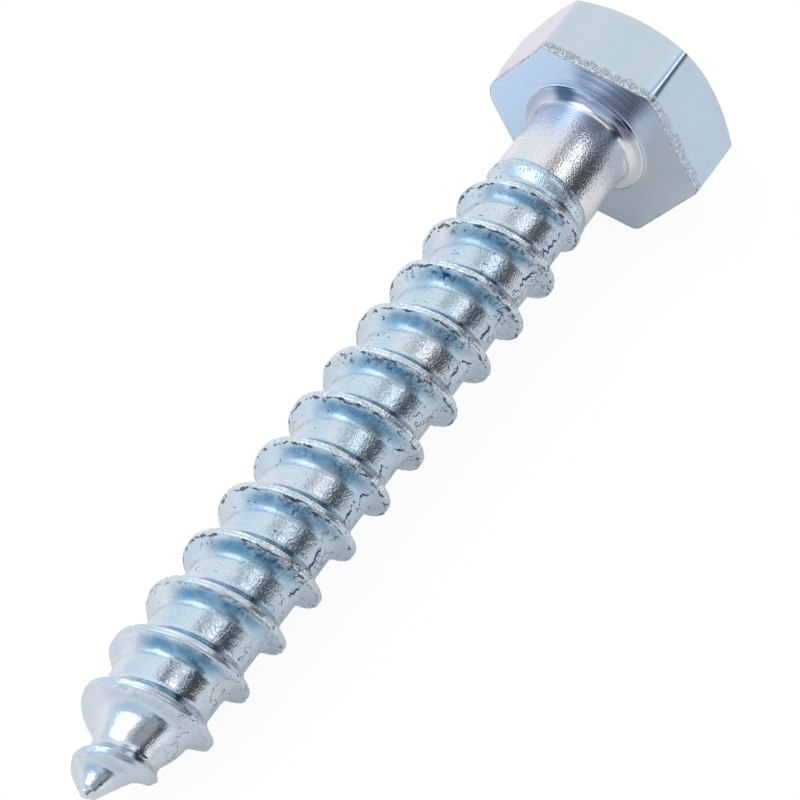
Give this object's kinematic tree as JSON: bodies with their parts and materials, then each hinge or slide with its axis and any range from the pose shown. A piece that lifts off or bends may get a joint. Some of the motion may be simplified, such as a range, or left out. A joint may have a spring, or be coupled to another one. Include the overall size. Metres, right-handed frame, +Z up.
{
  "type": "lag screw",
  "caption": "Hex-head lag screw of zinc-plated steel, coarse right-hand wood thread running to a gimlet point, short plain shank under the head.",
  "frame": {"origin": "centre of the bounding box's floor, where the screw lies on one flat of its head and one thread crest", "axes": "+X along the screw towards the head's top, tipped 3.4 degrees from the screw's own axis; point at -X; +Z up, with one flat of the head uppermost"},
  "size_m": [0.0744, 0.0192, 0.0171],
  "materials": {
    "zinc_plated_steel": "bright zinc plate over forged and rolled steel, bluish, with fine turning marks and rolling seams"
  },
  "bodies": {
    "root": {"lag_screw": "zinc_plated_steel"}
  },
  "joints": []
}
